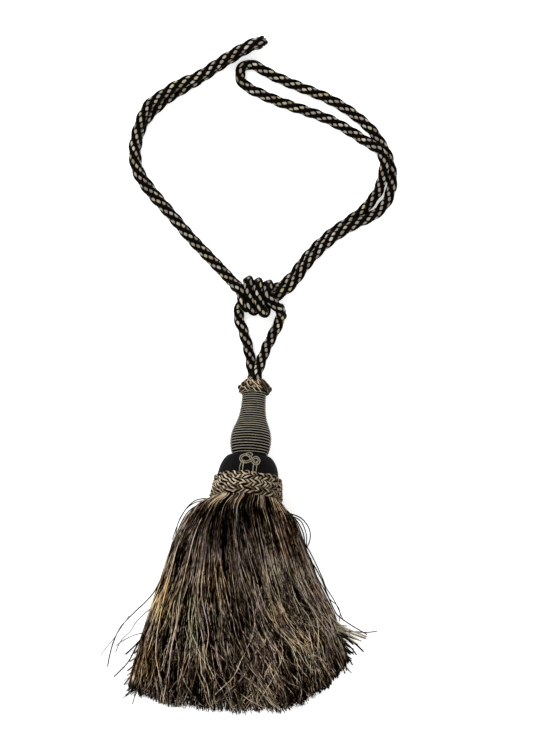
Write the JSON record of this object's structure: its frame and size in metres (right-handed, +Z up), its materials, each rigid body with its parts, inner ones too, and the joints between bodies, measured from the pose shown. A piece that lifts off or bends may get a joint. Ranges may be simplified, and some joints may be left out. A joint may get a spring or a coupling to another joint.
{
  "type": "curtain tieback tassel",
  "caption": "Curtain tieback: a twisted rope knotted into two long loops above a cord-bound tassel head with a full cut-yarn skirt, lying flat.",
  "frame": {"origin": "on the flat underside of the yarn skirt, where it lies on the surface, under the middle of its width", "axes": "+Z up from the surface it lies on, +Y from the hem along the tassel towards the rope loops, +X to the right seen from above"},
  "size_m": [0.2578, 0.6104, 0.0709],
  "materials": {
    "skirt_yarn": "cut cotton and viscose yarn, black mixed with beige",
    "band_gimp": "twisted beige and dark brown gimp",
    "dome_floss": "black floss laid over the mould, slight sheen",
    "neck_winding": "warm grey cord wound over black",
    "ruff_loops": "looped beige and dark gimp",
    "motif_gimp": "pale gold-beige gimp",
    "rope_fibre": "matt twisted rope, black strands and black strands flecked with beige"
  },
  "bodies": {
    "root": {"skirt": "skirt_yarn", "band": "band_gimp", "dome": "dome_floss", "neck": "neck_winding", "ruff": "ruff_loops", "motif": "motif_gimp", "rope_leg_right": "rope_fibre", "rope_leg_left": "rope_fibre", "rope_loop_left": "rope_fibre", "rope_loop_right": "rope_fibre", "knot": "rope_fibre"}
  },
  "joints": []
}
